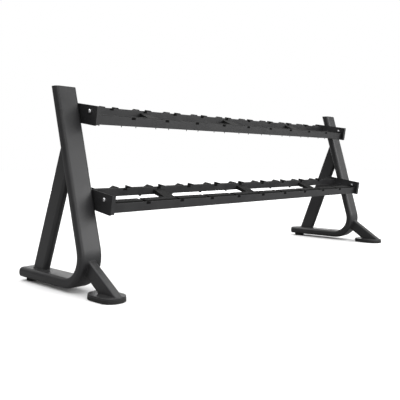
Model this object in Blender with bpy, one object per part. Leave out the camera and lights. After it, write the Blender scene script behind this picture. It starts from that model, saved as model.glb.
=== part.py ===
"""Two-tier dumbbell rack: two leaning side frames, two sloping shelves, and moulded pads and saddles.

Metres, +Z up. X runs along the shelves, -Y is the front where a person stands, and the floor is
Z = 0. The origin is on the floor under the middle of the rack. Shelf parts are laid out in a
tilted section frame (u to the rear, v up) centred on the shelf's end plates.
"""

import math

import bmesh
import bpy
from mathutils import Vector

GAP = 0.0003

# Side frames
FRAME_X = 1.1785
TUBE_WIDTH = 0.114
TUBE_DEPTH = 0.048
TUBE_CORNER = 0.019
WALL = 0.003
LEAN = math.atan(0.2715)
BEND_OUTER = 0.150
BEND_INNER = BEND_OUTER - TUBE_DEPTH
BEND_Y = -0.0165
BASE_BOTTOM = 0.016
BEND_Z = BASE_BOTTOM + BEND_OUTER
BASE_TOP = BASE_BOTTOM + TUBE_DEPTH
BASE_END_Y = 0.3613
UPRIGHT_TOP = 0.929
RACK_TOP = 0.931
CAP_EDGE = 0.003
PLUG_LENGTH = 0.015
PLUG_PLAY = 0.0006

# Flat bars of the side frames
STRUT_WIDTH = 0.040
REAR_STRUT_CORNER = 0.018
FOOT_STRUT_CORNER = 0.010
REAR_STRUT_DEPTH = 0.100
REAR_STRUT_LEAN = math.atan(0.4075)
REAR_STRUT_FOOT_Y = 0.2504
FOOT_STRUT_DEPTH = 0.072
FOOT_STRUT_SLOPE = math.radians(33.6)
FOOT_STRUT_TOP_Y = -0.177
FOOT_STRUT_TOP_Z = 0.144
FOOT_STRUT_EDGE = 0.009

# Feet
FOOT_RADIUS = 0.0605
FOOT_FRONT_Y = -0.364
FOOT_REAR_Y = -0.172
SOLE_HEIGHT = 0.016
FOOT_PLATE_TOP = 0.024
FOOT_PLATE_INSET = 0.001
REAR_FOOT_RADIUS = 0.035
REAR_FOOT_Y = 0.321

# Shelves
SHELF_TILT = math.radians(9.35)
LOWER_SHELF_Y = -0.096
LOWER_SHELF_Z = 0.4107
SHELF_RISE = 0.3986
SHELF_SETBACK = 0.1084
SHEET = 0.003
SHEET_BEND = 0.003
PLATE_THICKNESS = 0.005
PLATE_HALF_LENGTH = 0.1310
PLATE_HALF_HEIGHT = 0.045
PLATE_CORNER = 0.008
FLANGE_WIDTH = 0.021
FLANGE_BOTTOM_V = -0.041
FLANGE_SET_IN = 0.0005
PLATE_OUTER_X = FRAME_X - TUBE_WIDTH / 2 - GAP
PLATE_INNER_X = PLATE_OUTER_X - PLATE_THICKNESS
RAIL_END_X = PLATE_INNER_X - GAP
FRONT_RAIL_U = (-0.110, -0.033)
FRONT_RAIL_V = (-0.0395, -0.0055)
FRONT_LIP_V = 0.004
REAR_RAIL_U = (0.070, 0.124)
REAR_RAIL_V = (-0.007, 0.0235)
REAR_LIP_V = 0.0325
NOTCH_WIDTH = 0.018
BRACE_WIDTH = 0.070
BRACE_FRONT_V = (-0.018, -0.006)
BRACE_REAR_V = (-0.004, 0.020)
BRACE_PITCHES = (-3, 0, 3)

# Flat pads on the front rails and horned saddles on the rear rails
REST_PITCH = 0.222
RESTS_PER_RAIL = 10
REST_DEPTH = 0.047
REST_WEB = 0.0012
PAD_LENGTH = 0.205
PAD_HEIGHT = 0.0100
PAD_U = -0.080
SADDLE_LENGTH = 0.146
SADDLE_HORN = 0.0135
SADDLE_FLOOR = 0.0028
SADDLE_TIP = 0.004
SADDLE_RAMP = 0.018
SADDLE_U = 0.0735

# Bolts
ROUND_SIDES = 20
PLATE_BOLT_U = -0.077
PLATE_BOLT_V = 0.017
PLATE_BOLT_SHANK = 0.0040
PLATE_BOLT_HEAD = 0.0085
PLATE_BOLT_DOME = 0.0065
PLATE_BOLT_TAIL = 0.0065
SHELF_BOLT_U = 0.0163
SHELF_BOLT_SHANK = 0.0050
SHELF_BOLT_HEAD = 0.0090
SHELF_BOLT_DOME = 0.0050
SHELF_BOLT_TAIL = 0.018

SIDES = {"left": -1, "right": 1}
SHELVES = {"lower": 0, "upper": 1}

# Base colour, roughness, metallic
POWDER_COAT = ((0.030, 0.030, 0.031), 0.42, 0.0)
PLASTIC = ((0.018, 0.018, 0.019), 0.55, 0.0)
RUBBER = ((0.022, 0.022, 0.022), 0.75, 0.0)
ZINC = ((0.62, 0.62, 0.63), 0.28, 1.0)
BLACK_STEEL = ((0.030, 0.030, 0.032), 0.40, 0.6)


def clear_scene():
    for obj in list(bpy.data.objects):
        bpy.data.objects.remove(obj, do_unlink=True)


def make_material(name, finish):
    colour, roughness, metallic = finish
    material = bpy.data.materials.new(name)
    material.use_nodes = True
    shader = material.node_tree.nodes["Principled BSDF"]
    shader.inputs["Base Color"].default_value = (*colour, 1.0)
    shader.inputs["Roughness"].default_value = roughness
    shader.inputs["Metallic"].default_value = metallic
    return material


def skin(bm, rings):
    """Adds the rings of points and the faces between neighbours, and gives back the rings of vertices."""
    made = [[bm.verts.new(point) for point in ring] for ring in rings]
    count = len(made[0])
    for low, high in zip(made, made[1:]):
        for i in range(count):
            j = (i + 1) % count
            bm.faces.new((low[i], low[j], high[j], high[i]))
    return made


def band(bm, ring, other):
    count = len(ring)
    for i in range(count):
        j = (i + 1) % count
        bm.faces.new((ring[i], ring[j], other[j], other[i]))


def finish_object(name, bm, finish):
    bmesh.ops.recalc_face_normals(bm, faces=bm.faces)
    mesh = bpy.data.meshes.new(name)
    bm.to_mesh(mesh)
    bm.free()
    mesh.shade_smooth()
    mesh.set_sharp_from_angle(angle=math.radians(35))
    obj = bpy.data.objects.new(name, mesh)
    bpy.context.scene.collection.objects.link(obj)
    if finish is not None:
        mesh.materials.append(make_material(name, finish))
    return obj


def solid(name, rings, finish):
    """A closed body from rings of points, with a flat face over each end."""
    bm = bmesh.new()
    made = skin(bm, rings)
    bm.faces.new(made[0])
    bm.faces.new(made[-1])
    return finish_object(name, bm, finish)


def hollow(name, outer, inner, finish):
    """A tube from its outer and inner rings, open at both ends."""
    bm = bmesh.new()
    outside = skin(bm, outer)
    inside = skin(bm, inner)
    band(bm, outside[0], inside[0])
    band(bm, outside[-1], inside[-1])
    return finish_object(name, bm, finish)


def make_cutter(name, blocks):
    """Several separate closed blocks, each a pair of rings, as one hidden cutting tool."""
    bm = bmesh.new()
    for rings in blocks:
        made = skin(bm, rings)
        bm.faces.new(made[0])
        bm.faces.new(made[-1])
    cutter = finish_object(name, bm, None)
    cutter.hide_render = True
    cutter.display_type = "WIRE"
    return cutter


def boolean(obj, cutter, operation):
    modifier = obj.modifiers.new(operation.lower() + "_" + cutter.name, "BOOLEAN")
    modifier.operation = operation
    modifier.object = cutter
    modifier.solver = "EXACT"


def rounded_outline(width, depth, radius, steps=4):
    """Corner-rounded rectangle about the origin, as (a, b) pairs."""
    points = []
    for quarter in range(4):
        sign_a = (1, -1, -1, 1)[quarter]
        sign_b = (1, 1, -1, -1)[quarter]
        for step in range(steps + 1):
            angle = math.radians(90) * (quarter + step / steps)
            a = sign_a * (width / 2 - radius) + radius * math.cos(angle)
            b = sign_b * (depth / 2 - radius) + radius * math.sin(angle)
            points.append((a, b))
    return points


def split_edges(outline, longest):
    """The outline with extra points along any edge that is longer than this."""
    points = []
    for (a, b), (next_a, next_b) in zip(outline, outline[1:] + outline[:1]):
        pieces = math.ceil(math.hypot(next_a - a, next_b - b) / longest)
        for i in range(pieces):
            share = i / pieces
            points.append((a + (next_a - a) * share, b + (next_b - b) * share))
    return points


def racetrack(radius, front_y, rear_y, inset, steps=16):
    """Outline with a half circle at each end, long along Y, as (x, y) pairs."""
    points = []
    for centre_y, start in ((rear_y - radius, 0), (front_y + radius, 180)):
        for step in range(steps + 1):
            angle = math.radians(start + 180 * step / steps)
            reach = radius - inset
            points.append((reach * math.cos(angle), centre_y + reach * math.sin(angle)))
    return points


def circle(radius, sides=ROUND_SIDES):
    angles = [2 * math.pi * i / sides for i in range(sides)]
    return [(radius * math.cos(angle), radius * math.sin(angle)) for angle in angles]


# ---- Side frames ----------------------------------------------------------------------------

UP_THE_UPRIGHT = Vector((0, math.sin(LEAN), math.cos(LEAN)))
BEND_CENTRE = Vector((0, BEND_Y, BEND_Z))
UPRIGHT_OUTWARD = Vector((0, -math.cos(LEAN), math.sin(LEAN)))


def slide_to_plane(point, direction, normal, offset):
    """The point moved along the direction until normal . point equals the offset."""
    return point + direction * ((offset - normal.dot(point)) / normal.dot(direction))


def bend_ring(side_x, angle, shrink):
    """The tube's section at one angle round the bend."""
    outward = Vector((0, math.cos(angle), math.sin(angle)))
    middle = BEND_CENTRE + outward * (BEND_OUTER - TUBE_DEPTH / 2)
    section = rounded_outline(TUBE_WIDTH - 2 * shrink, TUBE_DEPTH - 2 * shrink, TUBE_CORNER - shrink)
    return [middle + Vector((side_x + a, 0, 0)) + outward * b for a, b in section]


def bent_tube_rings(side_x, shrink, steps=14):
    first = math.pi - LEAN
    last = 1.5 * math.pi
    rings = [bend_ring(side_x, first + (last - first) * i / steps, shrink) for i in range(steps + 1)]
    up = Vector((0, 0, 1))
    back = Vector((0, 1, 0))
    top = [slide_to_plane(point, UP_THE_UPRIGHT, up, UPRIGHT_TOP) for point in rings[0]]
    end = [slide_to_plane(point, back, back, BASE_END_Y) for point in rings[-1]]
    return [top, *rings, end]


def bolt_hole(centre, radius, x_from, x_to):
    y, z = centre
    return [[Vector((x, y + a, z + b)) for a, b in circle(radius)] for x in (x_from, x_to)]


def side_tube(side, sign):
    name = side + "_upright_and_base_tube"
    side_x = sign * FRAME_X
    tube = hollow(name, bent_tube_rings(side_x, 0), bent_tube_rings(side_x, WALL), POWDER_COAT)
    inner_face = side_x - sign * TUBE_WIDTH / 2
    holes = []
    for level in SHELVES.values():
        centre = section_to_yz(level, SHELF_BOLT_U, 0)
        reach = sorted((inner_face - sign * 0.002, inner_face + sign * (WALL + 0.002)))
        holes.append(bolt_hole(centre, SHELF_BOLT_SHANK + GAP, *reach))
    boolean(tube, make_cutter(side + "_shelf_bolt_drill", holes), "DIFFERENCE")


def capped_plug(name, outer_ring, inner_ring, outward, inward):
    """An end cap over a tube's mouth, with a plug that reaches inside it."""
    face = [point + outward * GAP for point in outer_ring]
    edge = [point + outward * (CAP_EDGE - 0.001) for point in outer_ring]
    middle = sum(edge, Vector()) / len(edge)
    crown = [point + (middle - point) * 0.03 + outward * 0.0007 for point in edge]
    root = [point + outward * GAP for point in inner_ring]
    tip = [point + inward * PLUG_LENGTH for point in inner_ring]
    return solid(name, [crown, edge, face, root, tip], PLASTIC)


def end_caps(side, sign):
    side_x = sign * FRAME_X
    outer = bent_tube_rings(side_x, 0)
    inner = bent_tube_rings(side_x, WALL + PLUG_PLAY)
    up = Vector((0, 0, 1)) * ((RACK_TOP - UPRIGHT_TOP) / (CAP_EDGE - GAP))
    capped_plug(side + "_upright_cap", outer[0], inner[0], up, -UP_THE_UPRIGHT)
    back = Vector((0, 1, 0))
    capped_plug(side + "_base_cap", outer[-1], inner[-1], back, -back)


def strut_rings(start, along, side_x, size, shrink, longest_edge, cut_low, cut_high):
    """A flat bar's two end rings, each point slid along the bar to where it is cut."""
    depth, corner = size
    across = Vector((0, -along.z, along.y))
    section = rounded_outline(STRUT_WIDTH - 2 * shrink, depth - 2 * shrink, corner - shrink)
    section = split_edges(section, longest_edge)
    ring = [start + Vector((side_x + a, 0, 0)) + across * b for a, b in section]
    return [[cut_low(point) for point in ring], [cut_high(point) for point in ring]]


def rear_strut(side, sign):
    along = Vector((0, -math.sin(REAR_STRUT_LEAN), math.cos(REAR_STRUT_LEAN)))
    start = Vector((0, REAR_STRUT_FOOT_Y, BASE_TOP))

    def to_base(point):
        return slide_to_plane(point, along, Vector((0, 0, 1)), BASE_TOP + GAP)

    def to_upright(point):
        offset = UPRIGHT_OUTWARD.dot(BEND_CENTRE) + BEND_INNER - GAP
        return slide_to_plane(point, along, UPRIGHT_OUTWARD, offset)

    cuts = (REAR_STRUT_DEPTH, to_base, to_upright)
    size = (REAR_STRUT_DEPTH, REAR_STRUT_CORNER)
    outer = strut_rings(start, along, sign * FRAME_X, size, 0, *cuts)
    inner = strut_rings(start, along, sign * FRAME_X, size, WALL, *cuts)
    hollow(side + "_rear_strut", outer, inner, POWDER_COAT)


def foot_strut(side, sign):
    along = Vector((0, -math.cos(FOOT_STRUT_SLOPE), -math.sin(FOOT_STRUT_SLOPE)))
    below = Vector((0, math.sin(FOOT_STRUT_SLOPE), -math.cos(FOOT_STRUT_SLOPE)))
    start = Vector((0, FOOT_STRUT_TOP_Y, FOOT_STRUT_TOP_Z)) + below * (FOOT_STRUT_DEPTH / 2)

    def to_bend(point):
        reach = point - BEND_CENTRE
        reach.x = 0
        half = reach.dot(along)
        radius = BEND_OUTER + GAP
        return point + along * (-half + math.sqrt(half**2 - reach.length_squared + radius**2))

    def to_plate(point):
        return slide_to_plane(point, along, Vector((0, 0, 1)), FOOT_PLATE_TOP + GAP)

    cuts = (FOOT_STRUT_EDGE, to_bend, to_plate)
    size = (FOOT_STRUT_DEPTH, FOOT_STRUT_CORNER)
    outer = strut_rings(start, along, sign * FRAME_X, size, 0, *cuts)
    inner = strut_rings(start, along, sign * FRAME_X, size, WALL, *cuts)
    hollow(side + "_foot_strut", outer, inner, POWDER_COAT)


def stacked_outline(outline_at, levels, side_x):
    """Rings at each (height, inset) pair of an outline that shrinks by the inset."""
    return [[Vector((side_x + x, y, z)) for x, y in outline_at(inset)] for z, inset in levels]


def feet(side, sign):
    side_x = sign * FRAME_X

    def front_outline(inset):
        return racetrack(FOOT_RADIUS, FOOT_FRONT_Y, FOOT_REAR_Y, inset)

    def rear_outline(inset):
        return [(x, REAR_FOOT_Y + y) for x, y in circle(REAR_FOOT_RADIUS - inset, 28)]

    plate_inset = FOOT_PLATE_INSET
    plate = [
        (SOLE_HEIGHT + GAP, plate_inset),
        (FOOT_PLATE_TOP - 0.0015, plate_inset),
        (FOOT_PLATE_TOP, plate_inset + 0.0015),
    ]
    sole = [(0.0, 0.002), (0.002, 0.0), (SOLE_HEIGHT - 0.001, 0.0), (SOLE_HEIGHT, 0.001)]
    rear_top = BASE_BOTTOM - GAP
    rear = [(0.0, 0.002), (0.002, 0.0), (rear_top, 0.0)]
    solid(side + "_foot_plate", stacked_outline(front_outline, plate, side_x), POWDER_COAT)
    solid(side + "_foot_sole", stacked_outline(front_outline, sole, side_x), RUBBER)
    solid(side + "_rear_foot", stacked_outline(rear_outline, rear, side_x), RUBBER)


# ---- Shelves --------------------------------------------------------------------------------


def section_to_yz(level, u, v):
    """A point of a shelf's tilted section frame, as (y, z)."""
    origin_y = LOWER_SHELF_Y + level * SHELF_SETBACK
    origin_z = LOWER_SHELF_Z + level * SHELF_RISE
    y = origin_y + u * math.cos(SHELF_TILT) - v * math.sin(SHELF_TILT)
    z = origin_z + u * math.sin(SHELF_TILT) + v * math.cos(SHELF_TILT)
    return y, z


def shelf_ring(level, x, outline):
    return [Vector((x, *section_to_yz(level, u, v))) for u, v in outline]


def box_rings(level, x_range, u_range, v_range):
    corners = [(u_range[0], v_range[0]), (u_range[1], v_range[0])]
    corners += [(u_range[1], v_range[1]), (u_range[0], v_range[1])]
    return [shelf_ring(level, x, corners) for x in x_range]


def end_plate(shelf, level, side, sign):
    outline = [
        (u, v)
        for u, v in rounded_outline(2 * PLATE_HALF_LENGTH, 2 * PLATE_HALF_HEIGHT, PLATE_CORNER)
        if not (u < 0 and v > 0)
    ]
    outline.insert(5, (-PLATE_HALF_LENGTH, PLATE_HALF_HEIGHT))
    rings = [shelf_ring(level, sign * x, outline) for x in (PLATE_INNER_X, PLATE_OUTER_X)]
    name = f"{shelf}_{side}_end_plate"
    plate = solid(name, rings, POWDER_COAT)

    flange_x = (sign * (PLATE_OUTER_X - FLANGE_WIDTH), sign * (PLATE_OUTER_X - 0.001))
    flange_front = -PLATE_HALF_LENGTH + FLANGE_SET_IN
    flange_u = (flange_front, flange_front + PLATE_THICKNESS)
    flange_v = (FLANGE_BOTTOM_V, PLATE_HALF_HEIGHT - FLANGE_SET_IN)
    flange = make_cutter(name + "_flange", [box_rings(level, flange_x, flange_u, flange_v)])
    boolean(plate, flange, "UNION")

    reach = (sign * (PLATE_INNER_X - 0.003), sign * (PLATE_OUTER_X + 0.003))
    holes = [
        bolt_hole(section_to_yz(level, PLATE_BOLT_U, PLATE_BOLT_V), PLATE_BOLT_SHANK + GAP, *reach),
        bolt_hole(section_to_yz(level, SHELF_BOLT_U, 0), SHELF_BOLT_SHANK + GAP, *reach),
    ]
    boolean(plate, make_cutter(name + "_drill", holes), "DIFFERENCE")


def corner_arc(u, v, start, steps=3):
    """A folded corner's quarter round about (u, v), from the start angle in degrees, anticlockwise."""
    angles = [math.radians(start + 90 * i / steps) for i in range(steps + 1)]
    return [(u + SHEET_BEND * math.cos(angle), v + SHEET_BEND * math.sin(angle)) for angle in angles]


def tube_outline(u_range, v_range, lip_top):
    """A rail's outline: a flat tube whose front wall rises past its top as a lip, as (u, v)."""
    (front, back), (low, top) = u_range, v_range
    outline = corner_arc(back - SHEET_BEND, low + SHEET_BEND, 270)
    outline += corner_arc(back - SHEET_BEND, top - SHEET_BEND, 0)
    outline += [(front + SHEET, top), (front + SHEET, lip_top), (front, lip_top)]
    outline += corner_arc(front + SHEET_BEND, low + SHEET_BEND, 180)
    return outline


def rail(name, level, u_range, v_range, lip_top):
    """A closed tube along the shelf, its lip notched between neighbouring rests."""
    (front, back), (low, top) = u_range, v_range
    outline = tube_outline(u_range, v_range, lip_top)
    rings = [shelf_ring(level, x, outline) for x in (-RAIL_END_X, RAIL_END_X)]
    tube = solid(name, rings, POWDER_COAT)

    reach = RAIL_END_X + 0.01
    inner_u = (front + SHEET, back - SHEET)
    inner_v = (low + SHEET, top - SHEET)
    bore = make_cutter(name + "_bore", [box_rings(level, (-reach, reach), inner_u, inner_v)])
    boolean(tube, bore, "DIFFERENCE")

    blocks = []
    for gap_index in range(1, RESTS_PER_RAIL):
        x = (gap_index - RESTS_PER_RAIL / 2) * REST_PITCH
        x_range = (x - NOTCH_WIDTH / 2, x + NOTCH_WIDTH / 2)
        u_range = (front - 0.002, front + SHEET + 0.002)
        blocks.append(box_rings(level, x_range, u_range, (top + 0.0005, lip_top + 0.002)))
    boolean(tube, make_cutter(name + "_lip_notches", blocks), "DIFFERENCE")


def brace(shelf, level, number, pitches):
    """A short folded bridge between the two rails, open below and taller at the rear rail."""
    x = pitches * REST_PITCH
    half = BRACE_WIDTH / 2
    inside = half - SHEET
    rings = []
    ends = ((FRONT_RAIL_U[1] + GAP, BRACE_FRONT_V), (REAR_RAIL_U[0] - GAP, BRACE_REAR_V))
    for u, (low, top) in ends:
        section = [(-half, low), (-half, top), (half, top), (half, low)]
        section += [(inside, low), (inside, top - SHEET), (-inside, top - SHEET), (-inside, low)]
        rings.append([Vector((x + a, *section_to_yz(level, u, v))) for a, v in section])
    solid(f"{shelf}_brace_{number}", rings, POWDER_COAT)


def pad_profile(x):
    """The upper line of one flat pad, as (x, height)."""
    return [(x - PAD_LENGTH / 2, PAD_HEIGHT), (x + PAD_LENGTH / 2, PAD_HEIGHT)]


def saddle_profile(x):
    """The upper line of one saddle: a horn at each end, ramps and a flat floor, as (x, height)."""
    half = SADDLE_LENGTH / 2
    ramp_top = half - SADDLE_TIP
    ramp_foot = ramp_top - SADDLE_RAMP
    left = [(-half, SADDLE_HORN), (-ramp_top, SADDLE_HORN), (-ramp_foot, SADDLE_FLOOR)]
    right = [(-a, height) for a, height in reversed(left)]
    return [(x + a, height) for a, height in left + right]


def rest_pair(name, level, first, second, front_u, rail_top):
    """Two neighbouring rests moulded in one piece, joined by a thin web along the rail."""
    upper = first + [(first[-1][0], REST_WEB), (second[0][0], REST_WEB)] + second
    outline = [(first[0][0], GAP), *upper, (second[-1][0], GAP)]
    rings = []
    for u in (front_u, front_u + REST_DEPTH):
        points = [(x, *section_to_yz(level, u, rail_top + height)) for x, height in outline]
        rings.append([Vector(point) for point in points])
    solid(name, rings, PLASTIC)


def rests(shelf, level):
    for pair in range(RESTS_PER_RAIL // 2):
        first_x = (2 * pair - (RESTS_PER_RAIL - 1) / 2) * REST_PITCH
        second_x = first_x + REST_PITCH
        pads = (pad_profile(first_x), pad_profile(second_x))
        saddles = (saddle_profile(first_x), saddle_profile(second_x))
        rest_pair(f"{shelf}_front_pads_{pair + 1}", level, *pads, PAD_U, FRONT_RAIL_V[1])
        rest_pair(f"{shelf}_rear_saddles_{pair + 1}", level, *saddles, SADDLE_U, REAR_RAIL_V[1])


# ---- Bolts ----------------------------------------------------------------------------------


def turned_bolt(name, centre, profile, finish):
    """A bolt along X from its (x, radius) profile."""
    y, z = centre
    rings = [[Vector((x, y + a, z + b)) for a, b in circle(radius)] for x, radius in profile]
    solid(name, rings, finish)


def dome(face_x, outward, radius, height, steps=4):
    """A button head's profile from its rounded crown to its seat, as (x, radius)."""
    profile = []
    for step in range(steps + 1):
        angle = math.radians(12 + 78 * step / steps)
        profile.append((face_x + outward * height * math.cos(angle), radius * math.sin(angle)))
    return profile


def plate_bolt(shelf, level, side, sign):
    """The bright domed bolt through the front of an end plate, its head outside."""
    seat = sign * (PLATE_OUTER_X + GAP)
    profile = dome(seat, sign, PLATE_BOLT_HEAD, PLATE_BOLT_DOME)
    tail = sign * (PLATE_INNER_X - PLATE_BOLT_TAIL)
    profile += [(seat, PLATE_BOLT_SHANK), (tail, PLATE_BOLT_SHANK)]
    centre = section_to_yz(level, PLATE_BOLT_U, PLATE_BOLT_V)
    turned_bolt(f"{shelf}_{side}_plate_bolt", centre, profile, ZINC)


def shelf_bolt(shelf, level, side, sign):
    """The bolt that holds an end plate to the upright, its head on the plate's inner face."""
    seat = sign * (PLATE_INNER_X - GAP)
    profile = dome(seat, -sign, SHELF_BOLT_HEAD, SHELF_BOLT_DOME)
    tail = sign * (PLATE_OUTER_X + SHELF_BOLT_TAIL)
    profile += [(seat, SHELF_BOLT_SHANK), (tail, SHELF_BOLT_SHANK)]
    centre = section_to_yz(level, SHELF_BOLT_U, 0)
    turned_bolt(f"{shelf}_{side}_shelf_bolt", centre, profile, BLACK_STEEL)


# ---- Assembly -------------------------------------------------------------------------------


def build_side(side, sign):
    side_tube(side, sign)
    end_caps(side, sign)
    rear_strut(side, sign)
    foot_strut(side, sign)
    feet(side, sign)


def build_shelf(shelf, level):
    rail(shelf + "_front_rail", level, FRONT_RAIL_U, FRONT_RAIL_V, FRONT_LIP_V)
    rail(shelf + "_rear_rail", level, REAR_RAIL_U, REAR_RAIL_V, REAR_LIP_V)
    for number, pitches in enumerate(BRACE_PITCHES, start=1):
        brace(shelf, level, number, pitches)
    rests(shelf, level)
    for side, sign in SIDES.items():
        end_plate(shelf, level, side, sign)
        plate_bolt(shelf, level, side, sign)
        shelf_bolt(shelf, level, side, sign)


clear_scene()
for side, sign in SIDES.items():
    build_side(side, sign)
for shelf, level in SHELVES.items():
    build_shelf(shelf, level)
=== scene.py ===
"""A two-tier dumbbell rack in black powder coat: rounded tubes, welds, saddles and fixings."""
import math

import bmesh
import bpy
from mathutils import Matrix, Vector


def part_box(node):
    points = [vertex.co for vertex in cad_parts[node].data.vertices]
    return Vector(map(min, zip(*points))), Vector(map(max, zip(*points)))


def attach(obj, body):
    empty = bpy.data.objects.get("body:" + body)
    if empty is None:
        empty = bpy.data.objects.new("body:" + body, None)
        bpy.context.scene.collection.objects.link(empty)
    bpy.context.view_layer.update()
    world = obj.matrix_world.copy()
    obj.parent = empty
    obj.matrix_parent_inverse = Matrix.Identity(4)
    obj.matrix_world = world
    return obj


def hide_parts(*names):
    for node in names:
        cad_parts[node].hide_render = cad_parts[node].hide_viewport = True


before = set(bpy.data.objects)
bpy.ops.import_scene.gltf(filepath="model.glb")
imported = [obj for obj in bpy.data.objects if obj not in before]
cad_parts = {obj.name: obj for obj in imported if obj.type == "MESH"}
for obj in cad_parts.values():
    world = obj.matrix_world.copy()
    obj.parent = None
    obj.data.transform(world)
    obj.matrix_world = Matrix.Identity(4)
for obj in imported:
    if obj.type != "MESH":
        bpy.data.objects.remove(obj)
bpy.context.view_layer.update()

# ---- Sizes, in metres, shared with the frame ------------------------------------------------

FRAME_X = 1.1785
BEND_CENTRE = Vector((0, -0.0165, 0.166))
BEND_OUTER = 0.150
BEND_INNER = 0.102
UPRIGHT_LEAN = math.atan(0.2715)
UPRIGHT_OUTWARD = Vector((0, -math.cos(UPRIGHT_LEAN), math.sin(UPRIGHT_LEAN)))
BASE_TOP = 0.064
FOOT_PLATE_TOP = 0.024
STRUT_WIDTH = 0.040
REAR_STRUT_CORNER = 0.018
FOOT_STRUT_CORNER = 0.010
REAR_STRUT_DEPTH = 0.100
REAR_STRUT_LEAN = math.atan(0.4075)
REAR_STRUT_FOOT = Vector((0, 0.2504, BASE_TOP))
FOOT_STRUT_DEPTH = 0.072
FOOT_STRUT_SLOPE = math.radians(33.6)
FOOT_STRUT_TOP = Vector((0, -0.177, 0.144))

SHELF_TILT = math.radians(9.35)
SHELF_ORIGINS = {"lower": Vector((0, -0.096, 0.4107)), "upper": Vector((0, 0.0124, 0.8093))}
SHELF_TURN = Matrix.Rotation(SHELF_TILT, 4, "X")
FRONT_RAIL = ((-0.110, -0.033), (-0.0395, -0.0055))
REAR_RAIL = ((0.070, 0.124), (-0.007, 0.0235))
LIP_HEIGHT = 0.0090
NOTCH_WIDTH = 0.018
REST_PITCH = 0.222
RESTS_PER_RAIL = 10
REST_DEPTH = 0.047
PAD_LENGTH = 0.205
PAD_HEIGHT = 0.0100
SADDLE_LENGTH = 0.146
SADDLE_HORN = 0.0135
SADDLE_FLOOR = 0.0028
SADDLE_TIP = 0.004
SADDLE_RAMP = 0.018
PLATE_BOLT = (-0.077, 0.017)
SHELF_BOLT = (0.0163, 0.0)
SIDES = {"left": -1, "right": 1}

# Welds, sunk panels, dark blocks that paint the shade in the notches, screws and bolts
WELD_STEP = 0.0022
STRUT_WELD = 0.0024
RAIL_WELD = 0.0018
RAIL_CORNER = 0.003
PANEL_MARGIN = 0.0045
SADDLE_PANEL_DEPTH = 0.0008
RAMP_PANEL_DEPTH = 0.0006
PAD_PANEL_DEPTH = 0.0006
NOTCH_SHADE_SIZE = (NOTCH_WIDTH + 0.0070, 0.0042, LIP_HEIGHT + 0.0020)
NOTCH_SHADE_SET_BACK = 0.0015
NOTCH_SHADE_SINK = 0.0018
SCREW_FROM_MIDDLE = REST_PITCH / 2 - 0.045
FRONT_SCREW_U = -0.078
REAR_NUT_U = 0.085
PLATE_THICKNESS = 0.005
WASHER_THICKNESS = 0.0014
PLATE_WASHER_RADIUS = 0.0118
BACK_WASHER_RADIUS = 0.0105
SHELF_WASHER_RADIUS = 0.0112
PLATE_HEAD = {"radius": 0.0100, "height": 0.0080, "socket": 0.0030, "shank": 0.0040, "tail": 0.0110}
SHELF_HEAD = {"radius": 0.0090, "height": 0.0048, "socket": 0.0032, "shank": 0.0050, "tail": 0.0225}
ON_WASHER = Matrix.Translation((0, 0, WASHER_THICKNESS))
NEAR = 0.0001


def on_shelf(shelf, x, u, v):
    """A point given along a shelf, to its rear and up from it, as a place in the rack."""
    return SHELF_ORIGINS[shelf] + SHELF_TURN @ Vector((x, u, v))


# ---- Bench habits ---------------------------------------------------------------------------


def clear_bench():
    """Leaves edit mode and lets go of everything."""
    if bpy.context.object and bpy.context.object.mode != "OBJECT":
        bpy.ops.object.mode_set(mode="OBJECT")
    bpy.ops.object.select_all(action="DESELECT")


def take_up(obj):
    clear_bench()
    obj.select_set(True)
    bpy.context.view_layer.objects.active = obj


def start_editing(obj):
    take_up(obj)
    bpy.ops.object.mode_set(mode="EDIT")
    bpy.ops.mesh.select_all(action="SELECT")


def pick(obj, kind, test):
    """In edit mode, selects only the corners, edges or faces that pass the test."""
    bpy.ops.mesh.select_mode(type=kind)
    bpy.ops.mesh.select_all(action="DESELECT")
    shape = bmesh.from_edit_mesh(obj.data)
    for item in {"VERT": shape.verts, "EDGE": shape.edges, "FACE": shape.faces}[kind]:
        item.select_set(test(item))
    bmesh.update_edit_mesh(obj.data)


def push(value):
    bpy.ops.transform.translate(value=value)


def round_edges(obj, width, segments, angle):
    """Rounds every edge sharper than the angle by a bevel that is then made final."""
    take_up(obj)
    modifier = obj.modifiers.new("rounding", "BEVEL")
    modifier.width = width
    modifier.segments = segments
    modifier.limit_method = "ANGLE"
    modifier.angle_limit = math.radians(angle)
    modifier.use_clamp_overlap = True
    bpy.ops.object.modifier_apply(modifier=modifier.name)


def smooth(obj, angle):
    take_up(obj)
    bpy.ops.object.shade_smooth_by_angle(angle=math.radians(angle))


def even_shading(obj):
    """Smooth shading in which the large flats stay flat and only the rounded edges turn."""
    smooth(obj, 30)
    modifier = obj.modifiers.new("flats", "WEIGHTED_NORMAL")
    modifier.mode = "FACE_AREA"
    modifier.weight = 80
    modifier.keep_sharp = True
    bpy.ops.object.modifier_apply(modifier=modifier.name)


def face_out(obj):
    start_editing(obj)
    bpy.ops.mesh.normals_make_consistent(inside=False)
    bpy.ops.object.mode_set(mode="OBJECT")


def put(obj, matrix):
    """Moves the shape itself, so that the object stays at the origin, unturned."""
    obj.data.transform(matrix @ obj.matrix_basis)
    obj.matrix_basis = Matrix.Identity(4)
    obj.data.update()
    return obj


def own_copy(model, name, matrix):
    """A copy with its own mesh, set in place."""
    piece = bpy.data.objects.new(name, model.data.copy())
    bpy.context.scene.collection.objects.link(piece)
    return put(piece, matrix)


def gather(name, pieces):
    """Several small fixings of one kind, kept as one piece."""
    clear_bench()
    for piece in pieces:
        piece.select_set(True)
    bpy.context.view_layer.objects.active = pieces[0]
    if len(pieces) > 1:
        bpy.ops.object.join()
    joined = bpy.context.object
    joined.name = name
    return joined


def mount(piece, finish, slot, *nodes):
    """Gives a piece its finish and its place on the rack; its slot is not used."""
    piece.data.materials.clear()
    piece.data.materials.append(finish)
    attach(piece, "root")
    if nodes:
        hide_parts(*nodes)
    return piece


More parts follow.
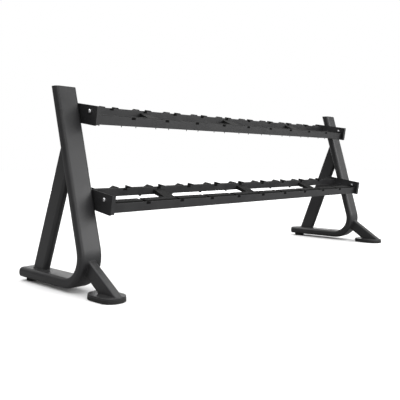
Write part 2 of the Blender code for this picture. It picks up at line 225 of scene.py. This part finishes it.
def refined(node, name):
    """A clean copy of a part of the frame: its loose triangles joined, its flats made whole."""
    piece = bpy.data.objects.new(name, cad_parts[node].data.copy())
    bpy.context.scene.collection.objects.link(piece)
    start_editing(piece)
    bpy.ops.mesh.remove_doubles(threshold=0.00002)
    bpy.ops.mesh.dissolve_limited(angle_limit=math.radians(0.5))
    bpy.ops.mesh.normals_make_consistent(inside=False)
    bpy.ops.object.mode_set(mode="OBJECT")
    if piece.data.has_custom_normals:
        bpy.ops.mesh.customdata_custom_splitnormals_clear()
    return piece


def turned(name, profile, sides):
    """A round piece from (height, radius) steps: a filled circle drawn out step by step."""
    clear_bench()
    height, radius = profile[0]
    bpy.ops.mesh.primitive_circle_add(vertices=sides, radius=radius, fill_type="NGON")
    piece = bpy.context.object
    piece.name = name
    start_editing(piece)
    push((0, 0, height))
    for next_height, next_radius in profile[1:]:
        rise = {"value": (0, 0, next_height - height)}
        bpy.ops.mesh.extrude_region_move(TRANSFORM_OT_translate=rise)
        grow = next_radius / radius
        bpy.ops.transform.resize(value=(grow, grow, 1))
        height, radius = next_height, next_radius
    bpy.ops.object.mode_set(mode="OBJECT")
    face_out(piece)
    return piece


def dome_profile(radius, height, lip, steps=7, flat=0.30):
    """A button head from its seat up: a short straight lip, then a rounded crown."""
    profile = [(0, radius), (lip, radius)]
    for step in range(1, steps + 1):
        angle = math.radians(90 * step / steps) * (1 - flat * 0.5)
        profile.append((lip + (height - lip) * math.sin(angle), radius * math.cos(angle)))
    return profile


# ---- Finishes -------------------------------------------------------------------------------


def new_group(name, inputs, outputs):
    group = bpy.data.node_groups.new(name, "ShaderNodeTree")
    for label, kind, value in inputs:
        socket = group.interface.new_socket(label, in_out="INPUT", socket_type=kind)
        if value is not None:
            socket.default_value = value
    for label, kind in outputs:
        group.interface.new_socket(label, in_out="OUTPUT", socket_type=kind)
    return group, group.nodes.new("NodeGroupInput"), group.nodes.new("NodeGroupOutput")


def noise(tree, vector, scale, detail, roughness=0.5):
    node = tree.nodes.new("ShaderNodeTexNoise")
    node.inputs["Detail"].default_value = detail
    node.inputs["Roughness"].default_value = roughness
    tree.links.new(vector, node.inputs["Vector"])
    if isinstance(scale, float):
        node.inputs["Scale"].default_value = scale
    else:
        tree.links.new(scale, node.inputs["Scale"])
    return node.outputs["Fac"]


def ramp(tree, value, low, high, to_low=0.0, to_high=1.0):
    node = tree.nodes.new("ShaderNodeMapRange")
    node.interpolation_type = "SMOOTHSTEP"
    for label, number in (("From Min", low), ("From Max", high), ("To Min", to_low), ("To Max", to_high)):
        node.inputs[label].default_value = number
    tree.links.new(value, node.inputs["Value"])
    return node.outputs["Result"]


def sums(tree, operation, first, second):
    node = tree.nodes.new("ShaderNodeMath")
    node.operation = operation
    for socket, value in zip(node.inputs, (first, second)):
        if isinstance(value, (int, float)):
            socket.default_value = value
        else:
            tree.links.new(value, socket)
    return node.outputs["Value"]


def make_grain_group():
    """Fine grain, soft clouding and short rub marks, for every moulded or coated surface."""
    inputs = [("Vector", "NodeSocketVector", None), ("Grain Scale", "NodeSocketFloat", 700.0)]
    inputs += [("Cloud Scale", "NodeSocketFloat", 9.0), ("Rub Scale", "NodeSocketFloat", 60.0)]
    outputs = [("Grain", "NodeSocketFloat"), ("Cloud", "NodeSocketFloat"), ("Rub", "NodeSocketFloat")]
    group, given, made = new_group("surface grain", inputs, outputs)
    point = given.outputs["Vector"]
    coarse = noise(group, point, given.outputs["Grain Scale"], 2.0)
    cells = group.nodes.new("ShaderNodeTexVoronoi")
    cells.feature = "SMOOTH_F1"
    group.links.new(point, cells.inputs["Vector"])
    group.links.new(given.outputs["Grain Scale"], cells.inputs["Scale"])
    speckle = sums(group, "MULTIPLY", coarse, 0.6)
    pits = sums(group, "MULTIPLY", cells.outputs["Distance"], 0.5)
    grain = sums(group, "ADD", speckle, pits)
    cloud = noise(group, point, given.outputs["Cloud Scale"], 4.0, 0.55)
    stretch = group.nodes.new("ShaderNodeMapping")
    stretch.inputs["Scale"].default_value = (0.25, 1.0, 1.4)
    group.links.new(point, stretch.inputs["Vector"])
    streaks = noise(group, stretch.outputs["Vector"], given.outputs["Rub Scale"], 3.0, 0.65)
    rub = sums(group, "MULTIPLY", ramp(group, streaks, 0.60, 0.74), ramp(group, cloud, 0.48, 0.62))
    group.links.new(grain, made.inputs["Grain"])
    group.links.new(cloud, made.inputs["Cloud"])
    group.links.new(rub, made.inputs["Rub"])
    return group


def make_dust_group():
    """Fine dust that settles on what faces up, thicker in some places than others."""
    inputs = [("Vector", "NodeSocketVector", None), ("Amount", "NodeSocketFloat", 0.3)]
    group, given, made = new_group("settled dust", inputs, [("Dust", "NodeSocketFloat")])
    surface = group.nodes.new("ShaderNodeNewGeometry")
    parts = group.nodes.new("ShaderNodeSeparateXYZ")
    group.links.new(surface.outputs["Normal"], parts.inputs["Vector"])
    facing_up = ramp(group, parts.outputs["Z"], 0.55, 1.0)
    patches = ramp(group, noise(group, given.outputs["Vector"], 26.0, 5.0, 0.6), 0.35, 0.75)
    specks = ramp(group, noise(group, given.outputs["Vector"], 420.0, 1.0), 0.60, 0.72)
    thin = sums(group, "MULTIPLY", patches, 0.7)
    thick = sums(group, "MULTIPLY", specks, 0.5)
    cover = sums(group, "MULTIPLY", facing_up, sums(group, "ADD", thin, thick))
    dust = sums(group, "MULTIPLY", cover, given.outputs["Amount"])
    group.links.new(dust, made.inputs["Dust"])
    return group


def use_group(tree, group, vector, **values):
    node = tree.nodes.new("ShaderNodeGroup")
    node.node_tree = group
    tree.links.new(vector, node.inputs["Vector"])
    for label, value in values.items():
        node.inputs[label.replace("_", " ")].default_value = value
    return node


def blend_colours(tree, factor, first, second):
    """Mixes two colours, each a tuple or a socket; the mix node's colours are inputs 6 and 7."""
    node = tree.nodes.new("ShaderNodeMix")
    node.data_type = "RGBA"
    tree.links.new(factor, node.inputs[0])
    for socket, colour in ((node.inputs[6], first), (node.inputs[7], second)):
        if isinstance(colour, tuple):
            socket.default_value = (*colour, 1.0)
        else:
            tree.links.new(colour, socket)
    return node.outputs[2]


DUST_COLOUR = (0.30, 0.29, 0.28)


def surface(name, colours, roughness, grain, bump, dust, metallic=0.0, specular=0.5):
    """One finish. Colours are two close shades and that of a rub; roughness is a range.

    Grain gives the scales of the grain, the clouding and the rubs; bump a strength and a depth.
    """
    finish = bpy.data.materials.new(name)
    finish.use_nodes = True
    tree = finish.node_tree
    shader = tree.nodes["Principled BSDF"]
    place = tree.nodes.new("ShaderNodeTexCoord").outputs["Object"]
    grain_scale, cloud_scale, rub_scale = grain
    scales = {"Grain_Scale": grain_scale, "Cloud_Scale": cloud_scale, "Rub_Scale": rub_scale}
    texture = use_group(tree, grain_group, place, **scales)
    shade = blend_colours(tree, ramp(tree, texture.outputs["Cloud"], 0.3, 0.7), *colours[:2])
    rubbed = blend_colours(tree, sums(tree, "MULTIPLY", texture.outputs["Rub"], 0.35), shade, colours[2])
    settled = use_group(tree, dust_group, place, Amount=dust).outputs["Dust"]
    tree.links.new(blend_colours(tree, settled, rubbed, DUST_COLOUR), shader.inputs["Base Color"])
    low, high = roughness
    rough = ramp(tree, texture.outputs["Cloud"], 0.25, 0.75, low, high)
    rough = sums(tree, "SUBTRACT", rough, sums(tree, "MULTIPLY", texture.outputs["Rub"], 0.06))
    rough = sums(tree, "ADD", rough, sums(tree, "MULTIPLY", settled, 0.3))
    tree.links.new(rough, shader.inputs["Roughness"])
    relief = tree.nodes.new("ShaderNodeBump")
    relief.inputs["Strength"].default_value, relief.inputs["Distance"].default_value = bump
    tree.links.new(texture.outputs["Grain"], relief.inputs["Height"])
    tree.links.new(relief.outputs["Normal"], shader.inputs["Normal"])
    shader.inputs["Metallic"].default_value = metallic
    shader.inputs["Specular IOR Level"].default_value = specular
    return finish


grain_group = make_grain_group()
dust_group = make_dust_group()

tube_coat = surface(
    "tube powder coat", ((0.016, 0.016, 0.017), (0.022, 0.022, 0.023), (0.060, 0.060, 0.062)),
    roughness=(0.36, 0.46), grain=(900.0, 7.0, 45.0), bump=(0.16, 0.0004), dust=0.10,
)
sheet_coat = surface(
    "sheet powder coat", ((0.014, 0.014, 0.015), (0.020, 0.020, 0.021), (0.060, 0.060, 0.062)),
    roughness=(0.36, 0.48), grain=(1000.0, 11.0, 60.0), bump=(0.16, 0.0004), dust=0.12,
)
# The braces are the same powder-coated steel as the rails; this darker, duller copy of the coat paints
# the shade that falls on them between the rails.
brace_painted_shade_coat = surface(
    "brace powder coat painted shade", ((0.006, 0.006, 0.006), (0.010, 0.010, 0.010), (0.030, 0.030, 0.030)),
    roughness=(0.55, 0.68), grain=(1000.0, 11.0, 60.0), bump=(0.16, 0.0004), dust=0.03, specular=0.2,
)
saddle_plastic = surface(
    "saddle plastic", ((0.006, 0.006, 0.006), (0.010, 0.010, 0.010), (0.030, 0.030, 0.030)),
    roughness=(0.58, 0.70), grain=(1600.0, 18.0, 90.0), bump=(0.30, 0.0003), dust=0.04, specular=0.2,
)
# Near-black, dull colour for the blocks that paint the shade in the rail notches.
notch_shade_black = surface(
    "notch painted shade", ((0.003, 0.003, 0.003), (0.005, 0.005, 0.005), (0.012, 0.012, 0.012)),
    roughness=(0.80, 0.90), grain=(1600.0, 18.0, 90.0), bump=(0.30, 0.0003), dust=0.0, specular=0.1,
)
cap_plastic = surface(
    "cap plastic", ((0.015, 0.015, 0.016), (0.022, 0.022, 0.023), (0.060, 0.060, 0.061)),
    roughness=(0.42, 0.54), grain=(1500.0, 20.0, 90.0), bump=(0.25, 0.0003), dust=0.12,
)
foot_rubber = surface(
    "foot rubber", ((0.016, 0.016, 0.016), (0.026, 0.026, 0.025), (0.070, 0.068, 0.066)),
    roughness=(0.62, 0.80), grain=(1100.0, 24.0, 80.0), bump=(0.45, 0.0005), dust=0.18, specular=0.35,
)
bright_zinc = surface(
    "bright zinc", ((0.62, 0.62, 0.64), (0.74, 0.74, 0.75), (0.45, 0.45, 0.46)),
    roughness=(0.20, 0.34), grain=(1400.0, 60.0, 300.0), bump=(0.10, 0.0002), dust=0.0, metallic=1.0,
)
black_steel = surface(
    "black steel", ((0.030, 0.030, 0.033), (0.045, 0.045, 0.048), (0.120, 0.118, 0.115)),
    roughness=(0.32, 0.46), grain=(1300.0, 50.0, 220.0), bump=(0.15, 0.0002), dust=0.05, metallic=0.6,
)

# ---- Side frames ----------------------------------------------------------------------------


def bars_and_feet(side):
    """Tubes, struts, caps and feet, each refined from its plain form."""
    # Node, finish, slot, width of the rounding, steps in it
    kinds = [
        ("upright_and_base_tube", tube_coat, "tube_powder_coat", 0.0006, 2),
        ("rear_strut", tube_coat, "tube_powder_coat", 0.0006, 2),
        ("foot_strut", tube_coat, "tube_powder_coat", 0.0006, 2),
        ("foot_plate", tube_coat, "tube_powder_coat", 0.0008, 3),
        ("upright_cap", cap_plastic, "cap_plastic", 0.0005, 2),
        ("base_cap", cap_plastic, "cap_plastic", 0.0005, 2),
        ("foot_sole", foot_rubber, "foot_rubber", 0.0008, 3),
        ("rear_foot", foot_rubber, "foot_rubber", 0.0010, 3),
    ]
    for kind, finish, slot, width, segments in kinds:
        node = f"{side}_{kind}"
        piece = refined(node, node + "_finished")
        round_edges(piece, width, segments, 40)
        even_shading(piece)
        mount(piece, finish, slot, node)


def even_outline(width, depth, corner, spacing):
    """Evenly spaced points round a corner-rounded rectangle, as (a, b) pairs."""
    straights = (depth - 2 * corner, width - 2 * corner)
    arc = corner * math.pi / 2
    length = 2 * sum(straights) + 4 * arc
    count = 2 * round(length / spacing / 2)
    points = []
    for i in range(count):
        along = length * i / count
        quarter = 0
        while along > straights[quarter % 2] + arc:
            along -= straights[quarter % 2] + arc
            quarter += 1
        straight = straights[quarter % 2]
        half, other = straight / 2, straights[(quarter + 1) % 2] / 2
        if along <= straight:
            local = (other + corner, along - half)
        else:
            angle = (along - straight) / corner
            local = (other + corner * math.cos(angle), half + corner * math.sin(angle))
        turn = math.radians(90 * quarter)
        a = local[0] * math.cos(turn) - local[1] * math.sin(turn)
        b = local[0] * math.sin(turn) + local[1] * math.cos(turn)
        points.append((a, b))
    return points


def weld_bead(name, points, thickness):
    """A closed run of weld whose overlapping ripples swell and shrink along it."""
    line = bpy.data.curves.new(name, "CURVE")
    line.dimensions = "3D"
    line.bevel_depth = thickness
    line.bevel_resolution = 2
    path = line.splines.new("POLY")
    path.points.add(len(points) - 1)
    path.use_cyclic_u = True
    for i, (spot, place) in enumerate(zip(path.points, points)):
        spot.co = (*place, 1.0)
        ripple = 0.16 if i % 2 else -0.10
        drift = 0.07 * math.sin(i * 0.37)
        spot.radius = 1.0 + ripple + drift
    bead = bpy.data.objects.new(name, line)
    bpy.context.scene.collection.objects.link(bead)
    take_up(bead)
    bpy.ops.object.convert(target="MESH")
    bead = bpy.context.object
    smooth(bead, 60)
    return mount(bead, tube_coat, "tube_powder_coat")


def slide_to_plane(point, direction, normal, offset):
    """The point moved along the direction until it meets a plane."""
    return point + direction * ((offset - normal.dot(point)) / normal.dot(direction))


def slide_to_bend(point, direction):
    """The point moved along the direction until it meets the outside of the bend."""
    reach = point - BEND_CENTRE
    reach.x = 0
    half = reach.dot(direction)
    return point + direction * (-half + math.sqrt(half**2 - reach.length_squared + BEND_OUTER**2))


def strut_welds(side, sign):
    """The run of weld round each end of both struts."""
    up = Vector((0, 0, 1))
    rear_along = Vector((0, -math.sin(REAR_STRUT_LEAN), math.cos(REAR_STRUT_LEAN)))
    rear_across = Vector((0, -rear_along.z, rear_along.y))
    foot_along = Vector((0, -math.cos(FOOT_STRUT_SLOPE), -math.sin(FOOT_STRUT_SLOPE)))
    foot_across = Vector((0, -foot_along.z, foot_along.y))
    below = Vector((0, math.sin(FOOT_STRUT_SLOPE), -math.cos(FOOT_STRUT_SLOPE)))
    foot_middle = FOOT_STRUT_TOP + below * (FOOT_STRUT_DEPTH / 2)
    side_x = sign * FRAME_X

    def ring(start, across, depth, corner, slide):
        outline = even_outline(STRUT_WIDTH, depth, corner, WELD_STEP)
        return [slide(start + Vector((side_x + a, 0, 0)) + across * b) for a, b in outline]

    back_offset = UPRIGHT_OUTWARD.dot(BEND_CENTRE) + BEND_INNER
    rear = (REAR_STRUT_FOOT, rear_across, REAR_STRUT_DEPTH, REAR_STRUT_CORNER)
    foot = (foot_middle, foot_across, FOOT_STRUT_DEPTH, FOOT_STRUT_CORNER)
    welds = {
        "rear_strut_base_weld": ring(*rear, lambda p: slide_to_plane(p, rear_along, up, BASE_TOP)),
        "rear_strut_top_weld": ring(
            *rear, lambda p: slide_to_plane(p, rear_along, UPRIGHT_OUTWARD, back_offset)
        ),
        "foot_strut_top_weld": ring(*foot, lambda p: slide_to_bend(p, foot_along)),
        "foot_strut_plate_weld": ring(*foot, lambda p: slide_to_plane(p, foot_along, up, FOOT_PLATE_TOP)),
    }
    for name, points in welds.items():
        weld_bead(f"{side}_{name}", points, STRUT_WELD)


def rail_welds(shelf, side, sign):
    """The run of weld round each rail where it meets an end plate."""
    plate_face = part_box(f"{shelf}_front_rail")[1].x
    for rail, (u_range, v_range) in (("front", FRONT_RAIL), ("rear", REAR_RAIL)):
        middle_u, middle_v = sum(u_range) / 2, sum(v_range) / 2
        width, height = u_range[1] - u_range[0], v_range[1] - v_range[0]
        outline = even_outline(width, height, RAIL_CORNER, WELD_STEP)
        points = [on_shelf(shelf, sign * plate_face, middle_u + a, middle_v + b) for a, b in outline]
        weld_bead(f"{shelf}_{side}_{rail}_rail_weld", points, RAIL_WELD)


# ---- Shelves --------------------------------------------------------------------------------


def rails_and_plates(shelf):
    """Rails, braces and end plates, each refined from its plain form."""
    braces = [f"brace_{i}" for i in (1, 2, 3)]
    for kind in ["front_rail", "rear_rail", *braces, "left_end_plate", "right_end_plate"]:
        node = f"{shelf}_{kind}"
        piece = refined(node, node + "_finished")
        round_edges(piece, width=0.0007, segments=2, angle=40)
        even_shading(piece)
        # Braces take the darker copy of the coat, which paints their shade.
        finish = brace_painted_shade_coat if kind.startswith("brace") else sheet_coat
        mount(piece, finish, "shelf_powder_coat", node)


def saddle_model():
    """One saddle at the origin: a block cut across four times, its floor sunk, its edges rounded."""
    clear_bench()
    bpy.ops.mesh.primitive_cube_add(size=1)
    saddle = bpy.context.object
    start_editing(saddle)
    bpy.ops.transform.resize(value=(SADDLE_LENGTH, REST_DEPTH, SADDLE_HORN))
    push((0, 0, SADDLE_HORN / 2))
    ramp_top = SADDLE_LENGTH / 2 - SADDLE_TIP
    ramp_foot = ramp_top - SADDLE_RAMP
    for x in (-ramp_top, -ramp_foot, ramp_foot, ramp_top):
        bpy.ops.mesh.select_all(action="SELECT")
        bpy.ops.mesh.bisect(plane_co=(x, 0, 0), plane_no=(1, 0, 0))
    pick(saddle, "VERT", lambda v: abs(v.co.x) < ramp_foot + NEAR and v.co.z > SADDLE_HORN / 2)
    push((0, 0, SADDLE_FLOOR - SADDLE_HORN))
    pick(saddle, "FACE", lambda f: f.normal.z > 0.9 and abs(f.calc_center_median().x) < NEAR)
    bpy.ops.mesh.inset(thickness=PANEL_MARGIN)
    push((0, 0, -SADDLE_PANEL_DEPTH))

    def on_ramp(face):
        return face.normal.z > 0.7 and ramp_foot < abs(face.calc_center_median().x) < ramp_top

    pick(saddle, "FACE", on_ramp)
    bpy.ops.mesh.inset(thickness=PANEL_MARGIN, use_individual=True)
    push((0, 0, -RAMP_PANEL_DEPTH))
    bpy.ops.object.mode_set(mode="OBJECT")
    round_edges(saddle, width=0.0009, segments=3, angle=20)
    face_out(saddle)
    smooth(saddle, 40)
    return saddle


def block_model(length, depth, height, rounding):
    """A plain moulded block standing on the origin, its edges rounded."""
    clear_bench()
    bpy.ops.mesh.primitive_cube_add(size=1)
    block = bpy.context.object
    start_editing(block)
    bpy.ops.transform.resize(value=(length, depth, height))
    push((0, 0, height / 2))
    bpy.ops.object.mode_set(mode="OBJECT")
    round_edges(block, width=rounding, segments=3, angle=30)
    even_shading(block)
    return block


def pad_model():
    """One flat pad: a block with a shallow panel sunk in its top."""
    pad = block_model(PAD_LENGTH, REST_DEPTH, PAD_HEIGHT, rounding=0.0010)
    start_editing(pad)
    pick(pad, "FACE", lambda f: f.normal.z > 0.99 and f.calc_center_median().z > PAD_HEIGHT - NEAR)
    bpy.ops.mesh.inset(thickness=PANEL_MARGIN)
    bpy.ops.mesh.inset(thickness=PAD_PANEL_DEPTH)
    push((0, 0, -PAD_PANEL_DEPTH))
    bpy.ops.object.mode_set(mode="OBJECT")
    return pad


def fit_rests(shelf, kind, model, height):
    """Ten rests along a rail, two for each of the frame's paired mouldings."""
    reach = REST_PITCH / 2
    for pair in range(RESTS_PER_RAIL // 2):
        node = f"{shelf}_{kind}s_{pair + 1}"
        low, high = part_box(node)
        middle = (low + high) / 2
        seat = middle - SHELF_TURN @ Vector((0, 0, height / 2))
        for half, x in enumerate((middle.x - reach, middle.x + reach)):
            place = Matrix.Translation((x, seat.y, seat.z)) @ SHELF_TURN
            rest = own_copy(model, f"{shelf}_{kind}_{2 * pair + half + 1}", place)
            stands_for = (node,) if half == 0 else ()
            mount(rest, saddle_plastic, "saddle_plastic", *stands_for)


def notch_shade_blocks(shelf, model):
    """Dark blocks set into the notches of each rail's lip, a little proud of its face, painting the shade
    in the notches.
    """
    for rail, (u_range, v_range) in (("front", FRONT_RAIL), ("rear", REAR_RAIL)):
        copies = []
        for i in range(1, RESTS_PER_RAIL):
            x = (i - RESTS_PER_RAIL / 2) * REST_PITCH
            spot = on_shelf(shelf, x, u_range[0] + NOTCH_SHADE_SET_BACK, v_range[1] - NOTCH_SHADE_SINK)
            copies.append(own_copy(model, f"plug_{i}", Matrix.Translation(spot) @ SHELF_TURN))
        mount(gather(f"{shelf}_{rail}_lip_notch_shades", copies), notch_shade_black, "saddle_plastic")


def hex_nut_model():
    """A hexagon nut hanging down from z = 0, chamfered, with the screw's tip below it."""
    nut = turned("nut", [(0, 0.0070), (-0.0005, 0.0075), (-0.0055, 0.0075), (-0.0060, 0.0070)], 6)
    tip = turned("tip", [(-0.0052, 0.0029), (-0.0092, 0.0029), (-0.0098, 0.0022)], 16)
    return gather("nut_and_tip", [nut, tip])


def screw_tip_model():
    """The bare end of a thin screw, from z = 0 down."""
    return turned("screw_tip", [(0, 0.0019), (-0.0078, 0.0019), (-0.0088, 0.0011)], 16)


def rail_screws(shelf, nut, tip):
    """What holds the rests from below: bare screw ends under the front rail, nuts under the rear."""
    first = -(RESTS_PER_RAIL - 1) / 2
    centres = [(first + i) * REST_PITCH for i in range(RESTS_PER_RAIL)]
    pairs = [c + s * SCREW_FROM_MIDDLE for c in centres for s in (-1, 1)]
    rails = {
        "front": (tip, pairs, FRONT_SCREW_U, FRONT_RAIL[1][0]),
        "rear": (nut, centres, REAR_NUT_U, REAR_RAIL[1][0]),
    }
    for rail, (model, places, u, v) in rails.items():
        copies = []
        for i, x in enumerate(places):
            place = Matrix.Translation(on_shelf(shelf, x, u, v)) @ SHELF_TURN
            copies.append(own_copy(model, f"screw_{i}", place))
        screws = gather(f"{shelf}_{rail}_rail_screws", copies)
        mount(screws, black_steel, "black_steel")


# ---- Bolts ----------------------------------------------------------------------------------


def socket_head(name, radius, height, socket, shank, tail):
    """A domed head above z = 0 with a six-sided socket sunk in it, and its shank below."""
    head = turned(name, dome_profile(radius, height, lip=0.0012), 36)
    start_editing(head)
    crown = max(v.co.z for v in head.data.vertices) - 0.00001
    pick(head, "FACE", lambda f: f.calc_center_median().z > crown)
    bpy.ops.mesh.delete(type="FACE")
    pick(head, "VERT", lambda v: v.co.z > crown)
    bpy.ops.mesh.extrude_region_move(TRANSFORM_OT_translate={"value": (0, 0, -0.0002)})
    shape = bmesh.from_edit_mesh(head.data)
    for corner in [v for v in shape.verts if v.select]:
        turn = math.atan2(corner.co.y, corner.co.x)
        facet = math.cos(math.radians(30)) / math.cos((turn % math.radians(60)) - math.radians(30))
        corner.co.x = socket * facet * math.cos(turn)
        corner.co.y = socket * facet * math.sin(turn)
    bmesh.update_edit_mesh(head.data)
    bpy.ops.mesh.extrude_region_move(TRANSFORM_OT_translate={"value": (0, 0, -height * 0.5)})
    bpy.ops.mesh.edge_face_add()
    bpy.ops.object.mode_set(mode="OBJECT")
    stem = turned(name + "_stem", [(0.0005, shank), (-tail + 0.0008, shank), (-tail, shank - 0.0008)], 24)
    return gather(name, [head, stem])


def domed_nut(name):
    """A hexagon nut standing on z = 0 with a closed dome on top."""
    nut = turned(name, [(0, 0.0078), (0.0003, 0.0083), (0.0030, 0.0083), (0.0034, 0.0078)], 6)
    dome = [(0.0034 + h, r) for h, r in dome_profile(0.0066, 0.0040, lip=0.0008, steps=6, flat=0.2)]
    cap = turned("cap", [(0.0030, 0.0066), *dome], 28)
    return gather(name, [nut, cap])


def along_x(sign):
    """Turns a piece's +z to the rack's left (-1) or right (1)."""
    return Matrix.Rotation(math.radians(90 * sign), 4, "Y")


def fit_washer(name, radius, seat):
    washer = turned(name, [(0, radius), (WASHER_THICKNESS, radius)], 36)
    round_edges(washer, width=0.0003, segments=2, angle=40)
    put(washer, seat)
    mount(washer, black_steel, "black_steel")


def fit_on_washer(piece, seat, finish, slot, *nodes):
    put(piece, seat @ ON_WASHER)
    smooth(piece, 40)
    mount(piece, finish, slot, *nodes)


def fit_bolts(shelf, side, sign):
    """The bright bolt through an end plate with its domed nut, and the dark bolt inside the shelf."""
    plate_low, plate_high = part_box(f"{shelf}_{side}_end_plate")
    outer_x = sign * max(abs(plate_low.x), abs(plate_high.x))
    inner_x = outer_x - sign * PLATE_THICKNESS
    spot = on_shelf(shelf, 0, *PLATE_BOLT)
    outer = Matrix.Translation((outer_x, spot.y, spot.z)) @ along_x(sign)
    inner = Matrix.Translation((inner_x, spot.y, spot.z)) @ along_x(-sign)
    node = f"{shelf}_{side}_plate_bolt"
    fit_washer(node + "_washer", PLATE_WASHER_RADIUS, outer)
    fit_washer(node + "_back_washer", BACK_WASHER_RADIUS, inner)
    bolt = socket_head(node + "_finished", **PLATE_HEAD)
    fit_on_washer(bolt, outer, bright_zinc, "bright_zinc", node)
    fit_on_washer(domed_nut(node + "_nut"), inner, bright_zinc, "bright_zinc")

    node = f"{shelf}_{side}_shelf_bolt"
    spot = on_shelf(shelf, 0, *SHELF_BOLT)
    seat = Matrix.Translation((inner_x, spot.y, spot.z)) @ along_x(-sign)
    fit_washer(node + "_washer", SHELF_WASHER_RADIUS, seat)
    bolt = socket_head(node + "_finished", **SHELF_HEAD)
    fit_on_washer(bolt, seat, black_steel, "black_steel", node)


# ---- Making the rack ------------------------------------------------------------------------

for side, sign in SIDES.items():
    bars_and_feet(side)
    strut_welds(side, sign)
pad = pad_model()
saddle = saddle_model()
# A dark block that paints the shade inside each notch of a rail's lip.
notch_shade_block = block_model(*NOTCH_SHADE_SIZE, rounding=0.0004)
nut = hex_nut_model()
screw_tip = screw_tip_model()
for shelf in SHELF_ORIGINS:
    rails_and_plates(shelf)
    fit_rests(shelf, "front_pad", pad, PAD_HEIGHT)
    fit_rests(shelf, "rear_saddle", saddle, SADDLE_HORN)
    notch_shade_blocks(shelf, notch_shade_block)
    rail_screws(shelf, nut, screw_tip)
    for side, sign in SIDES.items():
        rail_welds(shelf, side, sign)
        fit_bolts(shelf, side, sign)
for model in (pad, saddle, notch_shade_block, nut, screw_tip):
    bpy.data.objects.remove(model)

# ---- Floor, light and camera ----------------------------------------------------------------

FLOOR_SEEN, FLOOR_THROWN = (0.95, 0.95, 0.95), (0.30, 0.30, 0.30)
AIR_SEEN, AIR_THROWN = (1.0, 1.0, 1.0), (0.22, 0.22, 0.22)


def two_sided(tree, seen, unseen):
    """One colour where the camera looks straight at it, another for the light it throws back."""
    path = tree.nodes.new("ShaderNodeLightPath")
    return blend_colours(tree, path.outputs["Is Camera Ray"], unseen, seen)


def make_floor():
    clear_bench()
    bpy.ops.mesh.primitive_plane_add(size=60, location=(0, 0, -0.0005))
    floor = bpy.context.object
    floor.name = "studio_floor"
    paint = bpy.data.materials.new("pale floor")
    paint.use_nodes = True
    tree = paint.node_tree
    shader = tree.nodes["Principled BSDF"]
    tree.links.new(two_sided(tree, FLOOR_SEEN, FLOOR_THROWN), shader.inputs["Base Color"])
    shader.inputs["Roughness"].default_value = 0.9
    shader.inputs["Specular IOR Level"].default_value = 0.0
    floor.data.materials.append(paint)


def lamp(name, kind, place, target, energy, size):
    """A lamp the camera can't see. A sun's size is an angle in degrees, a panel's its two sides."""
    light = bpy.data.lights.new(name, kind)
    light.energy = energy
    if kind == "SUN":
        light.angle = math.radians(size)
    else:
        light.shape = "RECTANGLE"
        light.size, light.size_y = size
    holder = bpy.data.objects.new(name, light)
    bpy.context.scene.collection.objects.link(holder)
    holder.location = place
    holder.visible_camera = False
    holder.rotation_euler = (Vector(target) - Vector(place)).to_track_quat("-Z", "Y").to_euler()


def light_studio():
    world = bpy.data.worlds.new("studio")
    bpy.context.scene.world = world
    world.use_nodes = True
    background = world.node_tree.nodes["Background"]
    air = two_sided(world.node_tree, AIR_SEEN, AIR_THROWN)
    world.node_tree.links.new(air, background.inputs["Color"])
    background.inputs["Strength"].default_value = 1.0
    # Name, kind, place, aim, energy, size
    lamps = [
        ("overhead", "SUN", (0, 0, 5), (0, 0, 0), 3.6, 100),
        ("front_right", "AREA", (2.4, -4.2, 1.9), (0, 0, 0.4), 190, (6.0, 2.6)),
        ("front_left", "AREA", (-3.6, -5.0, 1.6), (-0.6, 0, 0.5), 70, (3.4, 2.2)),
        ("backdrop", "AREA", (6.0, 6.0, 1.1), (0, 0, 0.3), 160, (9.0, 1.8)),
    ]
    for settings in lamps:
        lamp(*settings)


def set_camera():
    data = bpy.data.cameras.new("camera")
    data.sensor_width = 36
    data.lens = 49.88
    data.shift_y = -0.103
    data.clip_end = 200
    camera = bpy.data.objects.new("camera", data)
    bpy.context.scene.collection.objects.link(camera)
    camera.location = (-2.6089, -2.1654, 0.5812)
    camera.rotation_euler = (math.radians(90.348), 0, math.radians(-46.556))
    bpy.context.scene.camera = camera


make_floor()
light_studio()
set_camera()
bpy.context.scene.view_settings.view_transform = "Standard"
